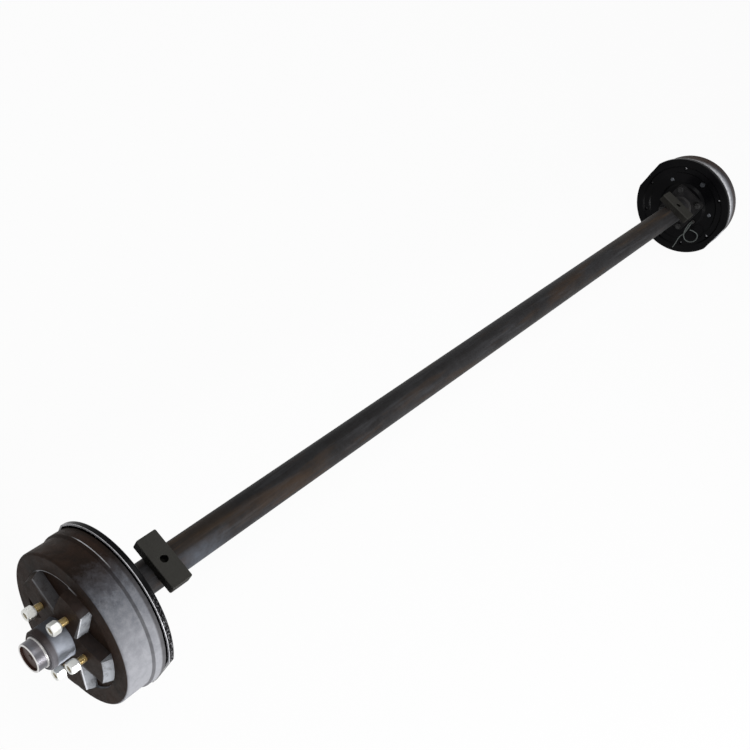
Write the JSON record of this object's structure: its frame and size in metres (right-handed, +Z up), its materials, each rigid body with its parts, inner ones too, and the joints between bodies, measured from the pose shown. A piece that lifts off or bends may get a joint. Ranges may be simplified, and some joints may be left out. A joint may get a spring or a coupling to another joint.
{
  "type": "trailer axle",
  "caption": "Straight round-tube trailer axle with welded spring seats on top and an electrically braked hub and drum on each end.",
  "frame": {"origin": "middle of the axle, on its own centre line", "axes": "+Y along the axle to its left end, +Z up out of the spring seats, +X forward"},
  "size_m": [0.2852, 2.508, 0.297],
  "materials": {
    "tube_steel": "black mill scale, rubbed, brown in streaks",
    "machined_steel": "turned",
    "black_steel": "black paint",
    "seat_steel": "dull olive-black forge skin",
    "gloss_black": "gloss black paint, rubbed at the rim",
    "bearing_steel": "ground",
    "rubber": "matt",
    "cast_iron": "raw casting, dark and mottled",
    "yellow_zinc": "yellow zinc plate",
    "zinc_steel": "bright zinc plate",
    "cap_steel": "pressed steel, dull",
    "shoe_steel": "black paint",
    "lining": "moulded friction lining",
    "magnet": "ground face, sealed coil",
    "lead_wire": "grey insulation"
  },
  "bodies": {
    "axle": {"axle_tube": "tube_steel", "left_magnet_leads": "lead_wire", "right_spindle": "machined_steel", "right_brake_flange": "black_steel", "right_spring_seat": "seat_steel", "right_backing_plate": "gloss_black", "right_flange_bolts": "black_steel", "right_anchor_post": "machined_steel", "right_thrust_washer": "machined_steel", "right_spindle_nut": "machined_steel", "right_cotter_pin": "zinc_steel", "right_bearing_cones": "bearing_steel", "right_bearing_rollers": "bearing_steel", "right_hold_downs": "zinc_steel", "right_adjuster_sockets": "zinc_steel", "right_rubber_plugs": "rubber", "right_shoe_springs": "zinc_steel", "left_spindle": "machined_steel", "left_brake_flange": "black_steel", "left_spring_seat": "seat_steel", "left_backing_plate": "gloss_black", "left_flange_bolts": "black_steel", "left_anchor_post": "machined_steel", "left_thrust_washer": "machined_steel", "left_spindle_nut": "machined_steel", "left_cotter_pin": "zinc_steel", "left_bearing_cones": "bearing_steel", "left_bearing_rollers": "bearing_steel", "left_hold_downs": "zinc_steel", "left_adjuster_sockets": "zinc_steel", "left_rubber_plugs": "rubber", "left_shoe_springs": "zinc_steel"},
    "right_hub": {"right_hub_drum": "cast_iron", "right_wheel_studs": "yellow_zinc", "right_wheel_nuts": "zinc_steel", "right_grease_cap": "cap_steel", "right_cap_plug": "rubber", "right_bearing_cups": "bearing_steel", "right_grease_seal": "rubber"},
    "right_front_shoe": {"right_primary_shoe": "shoe_steel", "right_primary_lining": "lining"},
    "right_rear_shoe": {"right_secondary_shoe": "shoe_steel", "right_secondary_lining": "lining"},
    "right_lever": {"right_magnet_lever": "shoe_steel", "right_magnet": "magnet"},
    "right_adjuster": {"right_adjuster_wheel": "zinc_steel"},
    "left_hub": {"left_hub_drum": "cast_iron", "left_wheel_studs": "yellow_zinc", "left_wheel_nuts": "zinc_steel", "left_grease_cap": "cap_steel", "left_cap_plug": "rubber", "left_bearing_cups": "bearing_steel", "left_grease_seal": "rubber"},
    "left_front_shoe": {"left_primary_shoe": "shoe_steel", "left_primary_lining": "lining"},
    "left_rear_shoe": {"left_secondary_shoe": "shoe_steel", "left_secondary_lining": "lining"},
    "left_lever": {"left_magnet_lever": "shoe_steel", "left_magnet": "magnet"},
    "left_adjuster": {"left_adjuster_wheel": "zinc_steel"}
  },
  "joints": [
    {"name": "right_hub_spin", "type": "hinge", "parent": "axle", "child": "right_hub", "pos_m": [0, -1.178, 0], "axis": [0, 1, 0], "continuous": true},
    {"name": "right_lever_swing", "type": "hinge", "parent": "axle", "child": "right_lever", "pos_m": [0, -1.145, 0.096], "axis": [0, 1, 0], "range_deg": [0, 3], "stiffness_Nm_per_rad": 8, "springref_deg": -5.73},
    {"name": "right_front_shoe_swing", "type": "hinge", "parent": "axle", "child": "right_front_shoe", "pos_m": [0.0203, -1.1352, -0.1], "axis": [0, 1, 0], "range_deg": [0, 0.2]},
    {"name": "right_rear_shoe_swing", "type": "hinge", "parent": "axle", "child": "right_rear_shoe", "pos_m": [-0.0203, -1.1352, -0.1], "axis": [0, -1, 0], "range_deg": [0, 0.2]},
    {"name": "right_adjuster_turn", "type": "hinge", "parent": "axle", "child": "right_adjuster", "pos_m": [0, -1.1352, -0.1], "axis": [1, 0, 0], "range_deg": [-180, 180]},
    {"name": "left_hub_spin", "type": "hinge", "parent": "axle", "child": "left_hub", "pos_m": [0, 1.178, 0], "axis": [0, 1, 0], "continuous": true},
    {"name": "left_lever_swing", "type": "hinge", "parent": "axle", "child": "left_lever", "pos_m": [0, 1.145, 0.096], "axis": [0, 1, 0], "range_deg": [0, 3], "stiffness_Nm_per_rad": 8, "springref_deg": -5.73},
    {"name": "left_front_shoe_swing", "type": "hinge", "parent": "axle", "child": "left_front_shoe", "pos_m": [0.0203, 1.1352, -0.1], "axis": [0, 1, 0], "range_deg": [0, 0.2]},
    {"name": "left_rear_shoe_swing", "type": "hinge", "parent": "axle", "child": "left_rear_shoe", "pos_m": [-0.0203, 1.1352, -0.1], "axis": [0, -1, 0], "range_deg": [0, 0.2]},
    {"name": "left_adjuster_turn", "type": "hinge", "parent": "axle", "child": "left_adjuster", "pos_m": [0, 1.1352, -0.1], "axis": [1, 0, 0], "range_deg": [-180, 180]}
  ],
  "couplings": [
    {"joint": "right_front_shoe_swing", "follows": "right_lever_swing", "ratio": 0.066667},
    {"joint": "right_rear_shoe_swing", "follows": "right_lever_swing", "ratio": 0.066667},
    {"joint": "left_front_shoe_swing", "follows": "left_lever_swing", "ratio": 0.066667},
    {"joint": "left_rear_shoe_swing", "follows": "left_lever_swing", "ratio": 0.066667}
  ]
}
